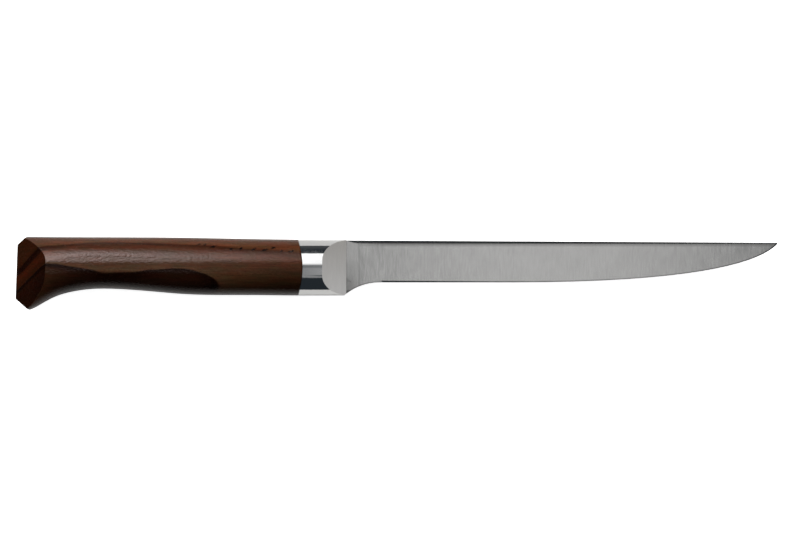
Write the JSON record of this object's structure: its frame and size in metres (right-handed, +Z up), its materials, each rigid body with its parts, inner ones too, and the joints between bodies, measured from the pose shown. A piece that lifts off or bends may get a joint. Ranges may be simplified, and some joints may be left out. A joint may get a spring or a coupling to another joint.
{
  "type": "fillet knife",
  "caption": "Long narrow fillet knife with a bevel-butted wooden handle and a short polished steel bolster.",
  "frame": {"origin": "under the middle of the knife's box, on the surface that the knife lies on; the knife lies on its side", "axes": "+X towards the tip, +Y towards the spine, +Z up, square to the plane that halves the blade"},
  "size_m": [0.318, 0.0304, 0.0172],
  "materials": {
    "blade_steel": "cross-brushed stainless steel",
    "bolster_steel": "mirror-polished stainless steel",
    "stained_beech": "dark stained beech under satin varnish",
    "epoxy": "cured adhesive, hidden"
  },
  "bodies": {
    "root": {"blade": "blade_steel", "bolster": "bolster_steel", "handle": "stained_beech", "tang_adhesive": "epoxy"}
  },
  "joints": []
}
